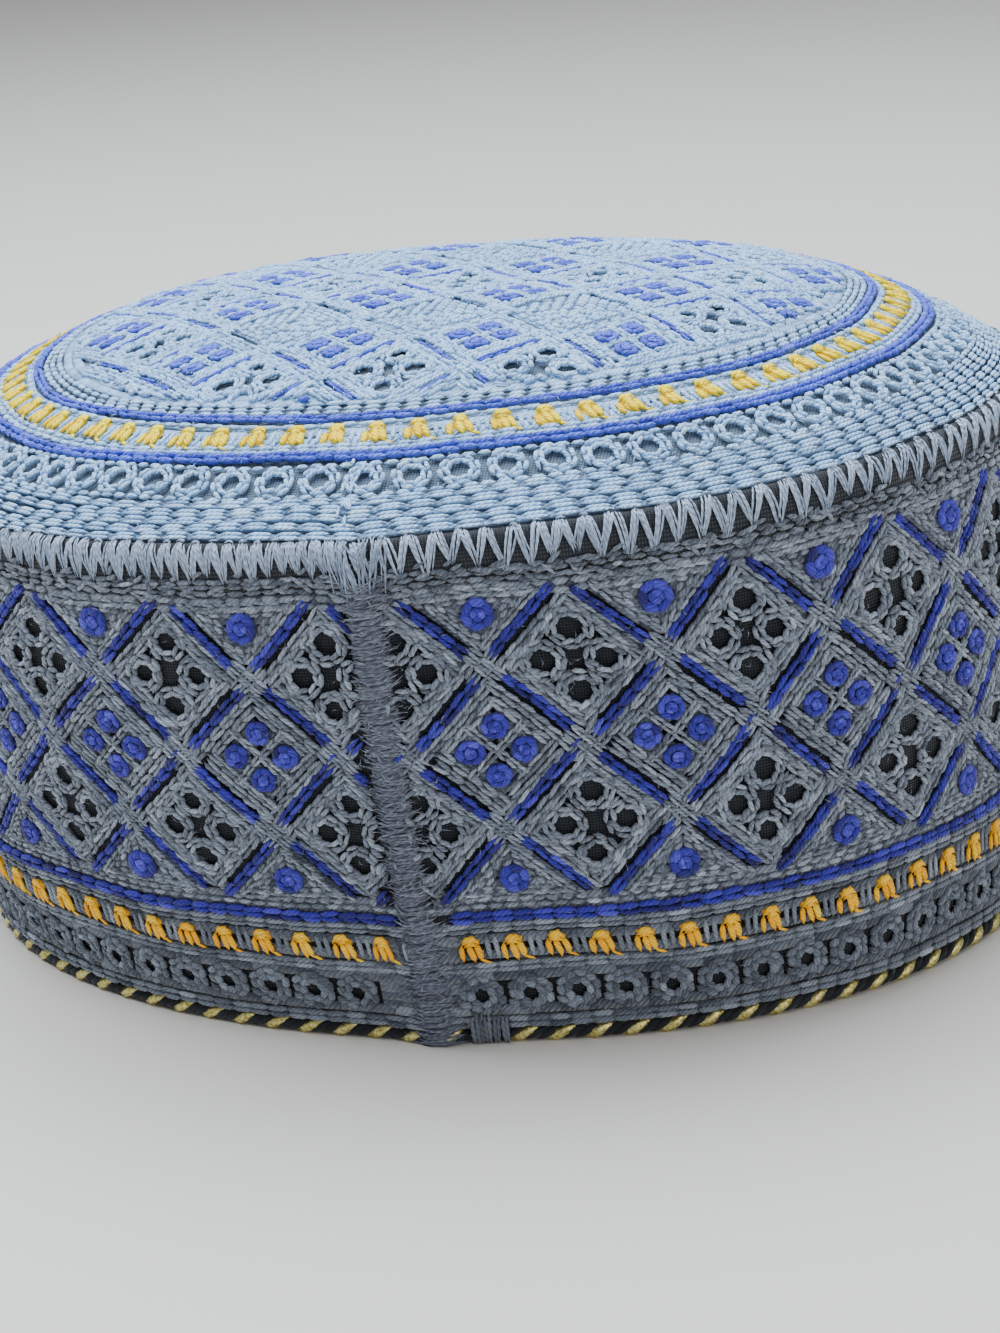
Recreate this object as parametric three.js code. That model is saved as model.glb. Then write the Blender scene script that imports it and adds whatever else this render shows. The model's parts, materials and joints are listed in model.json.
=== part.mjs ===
// Embroidered round prayer cap with a flat-topped crown, standing on its hem. Millimetres, +Z up.
// A soft oval band leans out towards its top, a domed crown panel closes it, and raised overcast
// threads cover the two joins. The oval's long axis is X, and the band's own seam faces -Y.

import * as THREE from 'three';
import { mergeVertices } from 'three/addons/utils/BufferGeometryUtils.js';

// The oval of the hem, measured on the outer face
const HEM_HALF_LENGTH = 101;
const HEM_HALF_WIDTH = 83.3;
const OVAL_POWER = 2.1;

// The band
const BAND_HEIGHT = 90;
const BAND_WALL = 2;
const BAND_BULGE = 2.7;
const LEAN_LENGTH = 1.5;
const LEAN_WIDTH = 14.4;
const TOP_SHIFT_X = -3.6;
const TOP_SHIFT_Y = -0.7;
const TOP_RISE_X = 5;
const TOP_RISE_Y = -1.6;

// The crown
const CROWN_WALL = 2;
const CROWN_FLAT_RADIUS = 12;

// The seam that closes the band, and the corner that it makes in the oval
const SEAM_TURN = -86;
const SEAM_WIDTH = 7.2;
const SEAM_PROUD = 1.7;
const CORNER_OUT = 2.2;
const CORNER_REACH = 14;
const CORNER_FADE = 22;

// The overcast ridge on the join of band and crown
const JOIN_DROP = 6.8;
const JOIN_PROUD = 1.2;
const JOIN_LIP = 1.6;

// The twisted cord under the hem
const CORD_DIAMETER = 2.4;
const CORD_INSET = 0.9;
const CORD_SIDES = 8;

// Clearances, and how finely the round shapes are stepped
const GAP = 0.3;
const FOOT_CLEARANCE = 0.6;
const FOOT_BLEND = 3;
const RING_STEPS = 120;
const SEAM_STEPS = 14;
const RISE_STEPS = 60;
const WELD = 0.001;

// Soft swellings of the top edge: where each is and how far it reaches, in degrees, how far it stands
// out, as a share of the hem's half width, how far it lifts, as a share of the band's height, and how
// far in over the crown it runs
const TOP_SWELLS = [
  { turn: 160, reach: 65, out: 0.036, lift: 0.052, inward: 0.7 },
];

// Rows up the band's outer face, as shares of its height
const BAND_ROWS = [0, 0.26, 0.5, 0.74, 1];

// The crown's slope in degrees, by its share of the way in from the edge to the middle
const CROWN_SLOPES = [
  { inward: 0, slope: 39.6 },
  { inward: 0.13, slope: 27.8 },
  { inward: 0.27, slope: 22.3 },
  { inward: 0.5, slope: 9.5 },
  { inward: 0.8, slope: 0 },
  { inward: 1, slope: 0 },
];

// Rings of the crown panel, as shares of the way in
const CROWN_ROWS = [0.04, 0.09, 0.15, 0.22, 0.3, 0.42, 0.58, 0.74];

// The join ridge's section: out as a share of its proud height, down as a share of its drop
const JOIN_SECTION = [
  { out: 0.45, down: 1.02 },
  { out: 1, down: 0.84 },
  { out: 1.12, down: 0.45 },
  { out: 0.95, down: 0.08 },
];

// The seam ridge up its height: width and proud height as shares of the named ones
const SEAM_ROWS = [
  { up: 0, wide: 1.36, proud: 0.8 },
  { up: 0.07, wide: 1.22, proud: 1.05 },
  { up: 0.16, wide: 1, proud: 1 },
  { up: 0.6, wide: 0.96, proud: 1 },
  { up: 1, wide: 1.08, proud: 0.92 },
];

// The seam ridge's section: across as a share of half its width, out as a share of its height
const SEAM_SECTION = [
  { across: -1, out: 0.1 },
  { across: -0.84, out: 0.62 },
  { across: -0.42, out: 0.94 },
  { across: 0, out: 1 },
  { across: 0.42, out: 0.94 },
  { across: 0.84, out: 0.62 },
  { across: 1, out: 0.1 },
];

const THREADS = {
  bandGrey: { color: 0x6c737e, roughness: 0.88, metalness: 0 },
  crownGrey: { color: 0x93a3ba, roughness: 0.85, metalness: 0 },
  overcastGrey: { color: 0x9fabb9, roughness: 0.8, metalness: 0 },
  seamGrey: { color: 0x7b838d, roughness: 0.84, metalness: 0 },
  cordGold: { color: 0xa8954a, roughness: 0.5, metalness: 0.35 },
};

const RADIANS = Math.PI / 180;
const CROWN_REACH = (HEM_HALF_LENGTH + LEAN_LENGTH + HEM_HALF_WIDTH + LEAN_WIDTH) / 2;
const BAND_FOOT = CORD_DIAMETER + GAP;

// Value of a table's column at a place between its rows
function readTable(rows, placeKey, valueKey, place) {
  const next = rows.findIndex((row) => row[placeKey] >= place);
  if (next < 1) return next < 0 ? rows.at(-1)[valueKey] : rows[0][valueKey];
  const low = rows[next - 1];
  const high = rows[next];
  const share = (place - low[placeKey]) / (high[placeKey] - low[placeKey]);
  return low[valueKey] + share * (high[valueKey] - low[valueKey]);
}

// Smallest angle between two turns in radians
function turnBetween(one, other) {
  return Math.abs(Math.atan2(Math.sin(one - other), Math.cos(one - other)));
}

// How far the seam pushes the oval out into a corner at a turn in radians
function cornerAt(turn) {
  const away = turnBetween(turn, SEAM_TURN * RADIANS) * HEM_HALF_WIDTH;
  const left = Math.max(0, 1 - away / CORNER_REACH);
  return CORNER_OUT * left * left;
}

// Sum of one column of the swellings at a turn, fading over the crown by the share of the way in
function swellAt(turn, column, inward) {
  return TOP_SWELLS.reduce((sum, row) => {
    const away = turnBetween(turn, row.turn * RADIANS) / (row.reach * RADIANS);
    const round = away < 1 ? Math.cos((away * Math.PI) / 2) ** 2 : 0;
    return sum + row[column] * round * Math.max(0, 1 - inward / row.inward);
  }, 0);
}

// Point of the hem's oval at a turn in radians, with the seam's corner as strong as asked
function hemPoint(turn, corner) {
  const cosine = Math.cos(turn);
  const sine = Math.sin(turn);
  const lengthPart = Math.abs(cosine / HEM_HALF_LENGTH) ** OVAL_POWER;
  const widthPart = Math.abs(sine / HEM_HALF_WIDTH) ** OVAL_POWER;
  const radius = (lengthPart + widthPart) ** (-1 / OVAL_POWER) + corner * cornerAt(turn);
  return [radius * cosine, radius * sine];
}

// How much the top edge lifts at a place, because the band is taller on one side
function tiltAt(x, y) {
  return (TOP_RISE_X * x) / HEM_HALF_LENGTH + (TOP_RISE_Y * y) / HEM_HALF_WIDTH;
}

// Outer face of the band in plan, at a turn and a share of its height
function facePoint(turn, share, corner = 1) {
  const [x, y] = hemPoint(turn, corner);
  const bulge = BAND_BULGE * 4 * share * (1 - share);
  const swell = 1 + swellAt(turn, 'out', 0) * share;
  return [
    x * swell * (1 + (LEAN_LENGTH * share + bulge) / HEM_HALF_LENGTH) + TOP_SHIFT_X * share,
    y * swell * (1 + (LEAN_WIDTH * share + bulge) / HEM_HALF_WIDTH) + TOP_SHIFT_Y * share,
  ];
}

// Point of the band: depth is measured in from its outer face, height up from the floor
function bandPoint(turn, depth, height) {
  const share = height / BAND_HEIGHT;
  const [x, y] = facePoint(turn, share);
  const [beforeX, beforeY] = facePoint(turn - RADIANS, share);
  const [afterX, afterY] = facePoint(turn + RADIANS, share);
  const span = Math.hypot(afterX - beforeX, afterY - beforeY);
  const lift = share * (tiltAt(x, y) + swellAt(turn, 'lift', 0) * BAND_HEIGHT);
  return new THREE.Vector3(
    x - (depth * (afterY - beforeY)) / span,
    y + (depth * (afterX - beforeX)) / span,
    height + lift,
  );
}

// Rise of the crown's outer face above the edge, at a distance in from the edge
function riseAt(inward) {
  const step = inward / RISE_STEPS;
  let rise = 0;
  for (let index = 0; index < RISE_STEPS; index += 1) {
    const place = ((index + 0.5) * step) / CROWN_REACH;
    rise += step * Math.tan(readTable(CROWN_SLOPES, 'inward', 'slope', place) * RADIANS);
  }
  return rise;
}

// Point of the crown: inward is measured from the edge, rise up from the edge's own level
function crownPoint(turn, inward, rise) {
  const share = inward / CROWN_REACH;
  const [x, y] = facePoint(turn, 1, Math.max(0, 1 - inward / CORNER_FADE));
  const halfLength = HEM_HALF_LENGTH + LEAN_LENGTH;
  const halfWidth = HEM_HALF_WIDTH + LEAN_WIDTH;
  const lengthLeft = 1 - share * (CROWN_REACH / halfLength) ** (1 - share);
  const widthLeft = 1 - share * (CROWN_REACH / halfWidth) ** (1 - share);
  const placeX = (x - TOP_SHIFT_X) * lengthLeft + TOP_SHIFT_X;
  const placeY = (y - TOP_SHIFT_Y) * widthLeft + TOP_SHIFT_Y;
  const flatShare = 1 - CROWN_FLAT_RADIUS / CROWN_REACH;
  const settle = Math.min(1, share / flatShare) ** 4;
  const lift = tiltAt(placeX, placeY) * (1 - settle) + swellAt(turn, 'lift', share) * BAND_HEIGHT;
  return new THREE.Vector3(placeX, placeY, BAND_HEIGHT + rise + lift);
}

// Moves every vertex of a geometry by a function of its place, and closes its doubled edges
function press(geometry, place) {
  geometry.deleteAttribute('normal');
  geometry.deleteAttribute('uv');
  const position = geometry.getAttribute('position');
  const vertex = new THREE.Vector3();
  for (let index = 0; index < position.count; index += 1) {
    vertex.fromBufferAttribute(position, index);
    vertex.copy(place(vertex));
    position.setXYZ(index, vertex.x, vertex.y, vertex.z);
  }
  const closed = mergeVertices(geometry, WELD);
  closed.computeVertexNormals();
  return closed;
}

// Spins a section given as distance in from the rim and height, then presses the ring oval, with one
// of its steps on the seam
function ovalRing(section, place) {
  const profile = section.map(([inward, height]) => new THREE.Vector2(CROWN_REACH - inward, height));
  const start = SEAM_TURN * RADIANS + Math.PI / 2;
  return press(new THREE.LatheGeometry(profile, RING_STEPS, start), (vertex) => {
    const radius = Math.hypot(vertex.x, vertex.z);
    const turn = Math.atan2(-vertex.z, vertex.x);
    return place(turn, CROWN_REACH - radius, vertex.y);
  });
}

function named(name, geometry, thread) {
  const mesh = new THREE.Mesh(geometry, new THREE.MeshStandardMaterial(thread));
  mesh.name = name;
  return mesh;
}

// The band: one wall all the way round, from the cord up to the crown
function sideBand() {
  const top = BAND_HEIGHT - GAP / 2;
  const heights = BAND_ROWS.map((share) => BAND_FOOT + share * (top - BAND_FOOT));
  const outer = heights.map((height) => [0, height]);
  const inner = heights.map((height) => [BAND_WALL, height]).reverse();
  return named('side_band', ovalRing([...outer, ...inner, outer[0]], bandPoint), THREADS.bandGrey);
}

// The crown: a domed panel cut level at its rim, with a small flat in the middle
function crownPanel() {
  const inside = (inward) => {
    const slope = readTable(CROWN_SLOPES, 'inward', 'slope', inward / CROWN_REACH) * RADIANS;
    const shift = CROWN_WALL * Math.sin(slope);
    return [inward + shift, riseAt(inward) - CROWN_WALL * Math.cos(slope)];
  };
  const rimSlope = CROWN_SLOPES[0].slope * RADIANS;
  const rimInside = (GAP / 2 + CROWN_WALL / Math.cos(rimSlope)) / Math.tan(rimSlope);
  const flat = CROWN_REACH - CROWN_FLAT_RADIUS;
  const rings = CROWN_ROWS.map((share) => share * CROWN_REACH);
  const roof = riseAt(CROWN_REACH);
  const section = [
    [CROWN_REACH, roof - CROWN_WALL],
    [flat, roof - CROWN_WALL],
    ...rings.map(inside).filter(([inward]) => inward > rimInside).reverse(),
    [rimInside, GAP / 2],
    [GAP / 2, GAP / 2],
    ...rings.map((inward) => [inward, riseAt(inward)]),
    [flat, roof],
    [CROWN_REACH, roof],
  ];
  return named('crown_panel', ovalRing(section, crownPoint), THREADS.crownGrey);
}

// The overcast ridge: a low roll outside the band, with a lip over the crown's rim
function crownJoinRidge() {
  const lipRise = riseAt(JOIN_LIP);
  const section = [
    [-GAP, BAND_HEIGHT - JOIN_DROP],
    ...JOIN_SECTION.map((row) => [-GAP - row.out * JOIN_PROUD, BAND_HEIGHT - row.down * JOIN_DROP]),
    [-GAP, BAND_HEIGHT + GAP + JOIN_PROUD],
    [JOIN_LIP, BAND_HEIGHT + lipRise + 2 * GAP + JOIN_PROUD / 2],
    [JOIN_LIP, BAND_HEIGHT + lipRise + 2 * GAP],
    [-GAP, BAND_HEIGHT + GAP],
    [-GAP, BAND_HEIGHT - JOIN_DROP],
  ];
  return named('crown_join_ridge', ovalRing(section, bandPoint), THREADS.overcastGrey);
}

// The seam ridge: wound threads over the seam, from the join down over the cord
function bandSeamRidge() {
  const top = BAND_HEIGHT - JOIN_SECTION[0].down * JOIN_DROP - GAP;
  const cordProud = Math.max(0, CORD_DIAMETER / 2 - CORD_INSET);
  const outline = new THREE.Shape();
  SEAM_SECTION.forEach((row, index) => {
    if (index) outline.lineTo(row.across, -row.out);
    else outline.moveTo(row.across, -row.out);
  });
  outline.lineTo(0, 0);
  outline.closePath();
  const bar = new THREE.ExtrudeGeometry(outline, { depth: 1, steps: SEAM_STEPS, bevelEnabled: false });
  const geometry = press(bar, (vertex) => {
    const height = FOOT_CLEARANCE + vertex.z * (top - FOOT_CLEARANCE);
    const across = (vertex.x * SEAM_WIDTH * readTable(SEAM_ROWS, 'up', 'wide', vertex.z)) / 2;
    const proud = SEAM_PROUD * readTable(SEAM_ROWS, 'up', 'proud', vertex.z);
    const overCord = cordProud * Math.min(1, Math.max(0, (BAND_FOOT + FOOT_BLEND - height) / FOOT_BLEND));
    const depth = -GAP - overCord + vertex.y * proud;
    return bandPoint(SEAM_TURN * RADIANS + across / HEM_HALF_WIDTH, depth, height);
  });
  return named('band_seam_ridge', geometry, THREADS.seamGrey);
}

// The cord: a ring under the band with one flat side on the floor
function hemCord() {
  const corner = CORD_DIAMETER / 2 / Math.cos(Math.PI / CORD_SIDES);
  const section = [];
  for (let side = 0; side <= CORD_SIDES; side += 1) {
    const angle = ((side % CORD_SIDES) + 0.5) * ((2 * Math.PI) / CORD_SIDES);
    section.push([CORD_INSET - corner * Math.cos(angle), CORD_DIAMETER / 2 + corner * Math.sin(angle)]);
  }
  return named('hem_cord', ovalRing(section, bandPoint), THREADS.cordGold);
}

const cap = new THREE.Group();
cap.add(sideBand(), crownPanel(), crownJoinRidge(), bandSeamRidge(), hemCord());

// The origin is the middle of the cap's box, on the floor
const box = new THREE.Box3().setFromObject(cap);
cap.position.set(-(box.min.x + box.max.x) / 2, -(box.min.y + box.max.y) / 2, -box.min.z);
cap.updateMatrixWorld(true);

export default cap;
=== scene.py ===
import json
import math

import bmesh
import bpy
import numpy as np
from mathutils import Matrix, Vector

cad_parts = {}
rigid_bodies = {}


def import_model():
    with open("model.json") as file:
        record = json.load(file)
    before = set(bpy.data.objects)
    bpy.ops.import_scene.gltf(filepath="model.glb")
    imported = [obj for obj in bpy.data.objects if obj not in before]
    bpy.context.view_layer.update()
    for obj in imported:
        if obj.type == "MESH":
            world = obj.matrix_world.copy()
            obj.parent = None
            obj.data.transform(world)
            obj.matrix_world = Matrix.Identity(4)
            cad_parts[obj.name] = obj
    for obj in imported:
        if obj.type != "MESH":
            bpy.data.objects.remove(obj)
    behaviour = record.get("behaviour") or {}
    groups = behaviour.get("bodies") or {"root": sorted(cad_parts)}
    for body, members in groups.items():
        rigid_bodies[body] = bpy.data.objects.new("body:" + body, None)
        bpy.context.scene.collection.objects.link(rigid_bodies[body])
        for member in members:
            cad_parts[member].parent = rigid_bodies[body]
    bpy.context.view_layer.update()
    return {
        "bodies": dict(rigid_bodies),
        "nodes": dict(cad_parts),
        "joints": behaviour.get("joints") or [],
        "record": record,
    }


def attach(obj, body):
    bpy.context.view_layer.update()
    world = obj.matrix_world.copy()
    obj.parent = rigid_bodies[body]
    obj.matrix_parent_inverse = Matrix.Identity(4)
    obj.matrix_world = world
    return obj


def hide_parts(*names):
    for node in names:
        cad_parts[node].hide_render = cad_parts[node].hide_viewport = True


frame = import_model()
rng = np.random.default_rng(27)
mm = 0.001


def addObject(name, data):
    added = bpy.data.objects.new(name, data)
    bpy.context.scene.collection.objects.link(added)
    return added


def newMaterial(name):
    material = bpy.data.materials.new(name)
    material.use_nodes = True
    return material, material.node_tree.nodes["Principled BSDF"]


# The view of the photograph, in millimetres and degrees
cameraView = {
    "aim": (4.098, 1.906, 38.46),
    "distance": 577.6,
    "turn": 14.0,
    "rise": 18.68,
    "roll": -3.76,
    "lens": 81.18,
    "sensor": 36,
    "clip": (0.01, 20),
}


def addCamera():
    v = cameraView
    turn, rise = math.radians(v["turn"]), math.radians(v["rise"])
    back = Vector((math.cos(rise) * math.sin(turn), -math.cos(rise) * math.cos(turn), math.sin(rise)))
    camera = addObject("cap_camera", bpy.data.cameras.new("cap_camera"))
    camera.data.lens = v["lens"]
    camera.data.sensor_width = v["sensor"]
    camera.data.clip_start, camera.data.clip_end = v["clip"]
    roll = Matrix.Rotation(math.radians(v["roll"]), 3, "Z")
    facing = (-back).to_track_quat("-Z", "Y").to_matrix() @ roll
    stand = (Vector(v["aim"]) + back * v["distance"]) * mm
    camera.matrix_world = Matrix.Translation(stand) @ facing.to_4x4()
    bpy.context.scene.camera = camera


addCamera()

# Soft studio light: a wide panel above, a weak one at each side and an even pale surround.
# Places and sizes in metres, power in watts
studio = {
    "panels": [
        ("top_panel", (-0.2, 0.12, 1.15), (1.4, 1.1), 43.0, (0.85, 0.925, 1.0)),
        ("front_panel", (1.15, -0.95, 0.72), (1.1, 0.8), 6.8, (1.0, 0.98, 0.95)),
        ("left_panel", (-1.3, -0.5, 0.6), (0.9, 0.7), 0.3, (0.97, 0.98, 1.0)),
    ],
    "surround": (0.80, 0.83, 0.87),
    "surroundStrength": 0.33,
    "lookAt": (0, 0, 0.05),
    "floor": (0.66, 0.63, 0.585),
    "floorRoughness": 0.85,
    "floorReach": 3.0,
}


def addStudio():
    for name, place, size, power, colour in studio["panels"]:
        light = bpy.data.lights.new(name, "AREA")
        light.shape = "RECTANGLE"
        light.size, light.size_y = size
        light.energy = power
        light.color = colour
        panel = addObject(name, light)
        panel.location = place
        facing = Vector(studio["lookAt"]) - Vector(place)
        panel.rotation_euler = facing.to_track_quat("-Z", "Y").to_euler()
    world = bpy.data.worlds.new("studio_surround")
    world.use_nodes = True
    surround = world.node_tree.nodes["Background"]
    surround.inputs["Color"].default_value = (*studio["surround"], 1)
    surround.inputs["Strength"].default_value = studio["surroundStrength"]
    bpy.context.scene.world = world
    bm = bmesh.new()
    bmesh.ops.create_grid(bm, x_segments=1, y_segments=1, size=studio["floorReach"])
    mesh = bpy.data.meshes.new("floor")
    bm.to_mesh(mesh)
    bm.free()
    floor = addObject("floor", mesh)
    finish, shader = newMaterial("pale_floor")
    shader.inputs["Base Color"].default_value = (*studio["floor"], 1)
    shader.inputs["Roughness"].default_value = studio["floorRoughness"]
    mesh.materials.append(finish)


addStudio()
print("camera, lights and floor made")

# The cap's form, in millimetres and degrees, as in the CAD model
capForm = {
    "planOrigin": (4.0984, 1.9059), "hemHalfLength": 101.0, "hemHalfWidth": 83.3, "ovalPower": 2.1,
    "bandHeight": 90.0, "bulge": 2.7, "leanLength": 1.5, "leanWidth": 14.4, "topShift": (-3.6, -0.7),
    "topRise": (5.0, -1.6), "seamTurn": -86.0, "cornerOut": 2.2, "cornerReach": 14.0,
    "cornerFade": 22.0, "flatRadius": 12.0, "swellTurn": 160.0, "swellReach": 65.0, "swellOut": 0.036,
    "swellLift": 0.052, "swellInward": 0.7, "slopePlaces": (0, 0.13, 0.27, 0.5, 0.8, 1),
    "slopes": (39.6, 27.8, 22.3, 9.5, 0, 0), "turnSteps": 2880, "shareSteps": 400,
}
topX, topY = capForm["topShift"]
topLength = capForm["hemHalfLength"] + capForm["leanLength"]
topWidth = capForm["hemHalfWidth"] + capForm["leanWidth"]
crownReach = (topLength + topWidth) / 2


def turnAway(turn, middle):
    return np.abs(np.angle(np.exp(1j * (turn - math.radians(middle)))))


def swellAt(turn):
    away = turnAway(turn, capForm["swellTurn"]) / math.radians(capForm["swellReach"])
    return np.where(away < 1, np.cos(np.minimum(away, 1) * math.pi / 2) ** 2, 0)


def hemPoint(turn, corner=1.0):
    f = capForm
    across, along = np.cos(turn), np.sin(turn)
    power = f["ovalPower"]
    whole = np.abs(across / f["hemHalfLength"]) ** power + np.abs(along / f["hemHalfWidth"]) ** power
    left = np.maximum(0, 1 - turnAway(turn, f["seamTurn"]) * f["hemHalfWidth"] / f["cornerReach"])
    radius = whole ** (-1 / power) + corner * f["cornerOut"] * left**2
    return radius * across, radius * along


def facePoint(turn, share, corner=1.0):
    f = capForm
    x, y = hemPoint(turn, corner)
    bulge = f["bulge"] * 4 * share * (1 - share)
    swell = 1 + swellAt(turn) * f["swellOut"] * share
    x = x * swell * (1 + (f["leanLength"] * share + bulge) / f["hemHalfLength"]) + topX * share
    y = y * swell * (1 + (f["leanWidth"] * share + bulge) / f["hemHalfWidth"]) + topY * share
    return x, y


def tiltAt(x, y):
    f = capForm
    return f["topRise"][0] * x / f["hemHalfLength"] + f["topRise"][1] * y / f["hemHalfWidth"]


def summed(steps):
    return np.concatenate([[0], np.cumsum(steps)])


# Places along the hem, from the band's seam round to it again
turnTable = np.radians(capForm["seamTurn"]) + np.linspace(0, 2 * math.pi, capForm["turnSteps"] + 1)
hemX, hemY = hemPoint(turnTable)
hemArc = summed(np.hypot(np.diff(hemX), np.diff(hemY)))
hemLength = hemArc[-1]

# Rise and surface distance from the crown's edge to its centre
shareTable = np.linspace(0, 1, capForm["shareSteps"] + 1)
slopeTable = np.tan(np.radians(np.interp(shareTable, capForm["slopePlaces"], capForm["slopes"])))
stepTable = np.diff(shareTable) * crownReach
riseTable = summed((slopeTable[1:] + slopeTable[:-1]) / 2 * stepTable)
distanceTable = summed(np.hypot(np.diff(riseTable), stepTable))


def bandSurface(s, height):
    f = capForm
    turn = np.interp(np.mod(s, hemLength), hemArc, turnTable)
    share = height / f["bandHeight"]
    x, y = facePoint(turn, share)
    z = height + share * (tiltAt(x, y) + swellAt(turn) * f["swellLift"] * f["bandHeight"])
    return np.stack([x, y, z], -1)


def crownAt(turn, share):
    f = capForm
    x, y = facePoint(turn, 1.0, np.maximum(0, 1 - share * crownReach / f["cornerFade"]))
    lengthLeft = 1 - share * (crownReach / topLength) ** (1 - share)
    widthLeft = 1 - share * (crownReach / topWidth) ** (1 - share)
    x = (x - topX) * lengthLeft + topX
    y = (y - topY) * widthLeft + topY
    settle = np.minimum(1, share / (1 - f["flatRadius"] / crownReach)) ** 4
    swell = swellAt(turn) * f["swellLift"] * f["bandHeight"] * np.maximum(0, 1 - share / f["swellInward"])
    z = f["bandHeight"] + np.interp(share, shareTable, riseTable) + tiltAt(x, y) * (1 - settle) + swell
    return np.stack([x, y, z], -1)


def crownSurface(turn, distance):
    return crownAt(turn, np.interp(distance, distanceTable, shareTable))


def fieldSurface(x, y):
    dx, dy = x - topX, y - topY
    turn = np.arctan2(dy / topWidth, dx / topLength)
    left = np.hypot(dx / topLength, dy / topWidth)
    wanted, reach = np.arctan2(dy, dx), np.hypot(dx, dy)
    for again in range(7):
        found = crownAt(turn, 1 - left)
        fx, fy = found[..., 0] - topX, found[..., 1] - topY
        turn = turn + np.angle(np.exp(1j * (wanted - np.arctan2(fy, fx))))
        left = np.clip(left * (reach + 1e-6) / (np.hypot(fx, fy) + 1e-6), 0, 1)
    z = crownAt(turn, 1 - left)[..., 2]
    return np.stack([x, y, z], -1)


# How far to each side a surface is probed for its normal, in millimetres, or in radians round it
probe, turnProbe = 0.4, 0.004


def lifted(surface, a, b, out, stepA, stepB):
    alongA = surface(a + stepA, b) - surface(a - stepA, b)
    alongB = surface(a, b + stepB) - surface(a, b - stepB)
    normal = np.cross(alongA, alongB)
    normal = normal / np.maximum(np.linalg.norm(normal, axis=-1, keepdims=True), 1e-9)
    return surface(a, b) + normal * np.asarray(out)[..., None]


# How far the rows wander and the cloth puckers, where that dies away, and
# which patch of the same waves the crown takes, in millimetres
handwork = {
    "wander": 0.28, "pucker": 0.22, "seamHold": 12, "edgeHold": 8, "fieldPatch": 400, "ringPatch": 900,
}


def wander(a, b):
    slow = np.sin(a / 13.1 + 0.6 * np.sin(b / 11.0)) + 0.6 * np.sin(a / 5.3 + b / 7.9 + 1.1)
    across = np.sin(b / 9.7 + a / 23.0) + 0.6 * np.sin(b / 4.1 - a / 8.6 + 2.0)
    pucker = np.sin(a / 6.9 + b / 17.0) * np.sin(b / 6.3 - a / 29.0 + 0.4)
    return handwork["wander"] * across, handwork["wander"] * slow, handwork["pucker"] * pucker


# A sheet turns places on flat cloth, in millimetres, and a height above it into points of the cap
def bandSheet(s, height, out):
    shiftA, shiftB, pucker = wander(s, height)
    edge = np.minimum(height, capForm["bandHeight"] - height)
    hold = np.clip(np.minimum(s, hemLength - s) / handwork["seamHold"], 0, 1)
    hold = hold * np.clip(edge / handwork["edgeHold"], 0, 1)
    s, height, out = s + shiftA * hold, height + shiftB * hold, out + pucker * hold
    return lifted(bandSurface, s, height, out, probe, probe)


def fieldSheet(x, y, out):
    shiftA, shiftB, pucker = wander(x + handwork["fieldPatch"], y)
    return lifted(fieldSurface, x + shiftA, y + shiftB, out + pucker, probe, probe)


def crownRow(distance):
    ring = crownSurface(turnTable, np.full_like(turnTable, distance))
    arc = summed(np.linalg.norm(np.diff(ring, axis=0), axis=1))

    def sheet(a, b, out):
        a = np.mod(a, arc[-1])
        hold = np.clip(np.minimum(a, arc[-1] - a) / handwork["seamHold"], 0, 1)
        turn = np.interp(a, arc, turnTable)
        shift = wander(a + handwork["ringPatch"], distance + np.zeros_like(a))[1]
        return lifted(crownSurface, turn, distance + b + shift * hold, out, turnProbe, probe)

    return sheet, arc[-1]


# The rounded roll over the join, from the band's face up and in to the crown's
joinRoll = {
    "low": 83.2, "lowOut": 0.1, "topOut": 1.5, "topHeight": 92.0, "inward": 2.0, "width": 9.6, "probe": 0.2,
}


def rollSurface(s, b):
    j = joinRoll
    share = b / j["width"]
    turn = np.interp(np.mod(s, hemLength), hemArc, turnTable)
    flat = np.zeros_like(share)
    low = bandSheet(s, flat + j["low"], flat + j["lowOut"])
    top = bandSheet(s, flat + j["topHeight"], flat + j["topOut"])
    end = crownSurface(turn, flat + j["inward"])
    share = share[..., None]
    return low * (1 - share) ** 2 + top * 2 * share * (1 - share) + end * share**2


def rollSheet(s, b, out):
    return lifted(rollSurface, s, b, out, probe, joinRoll["probe"])


def toScene(points):
    return (points + np.array([*capForm["planOrigin"], 0])) * mm


# Cloth and thread finishes
def feed(material, node, values, sources):
    for key, value in values.items():
        node.inputs[key].default_value = value
    for key, source in sources.items():
        material.node_tree.links.new(source, node.inputs[key])


def addNode(material, kind, output, values={}, sources={}, settings={}):
    node = material.node_tree.nodes.new("ShaderNode" + kind)
    for key, value in settings.items():
        setattr(node, key, value)
    feed(material, node, values, sources)
    return node.outputs[output]


def addScaled(material, values, sources):
    return addNode(material, "Math", "Value", values, sources, {"operation": "MULTIPLY_ADD"})


def addRamp(material, source, stops):
    colour = addNode(material, "ValToRGB", "Color", {}, {"Fac": source})
    elements = colour.node.color_ramp.elements
    elements[0].position, elements[1].position = stops[0][0], stops[-1][0]
    for position, tone in stops[1:-1]:
        elements.new(position)
    for element, (position, tone) in zip(elements, stops):
        element.color = (*tone, 1)
    return colour


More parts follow.
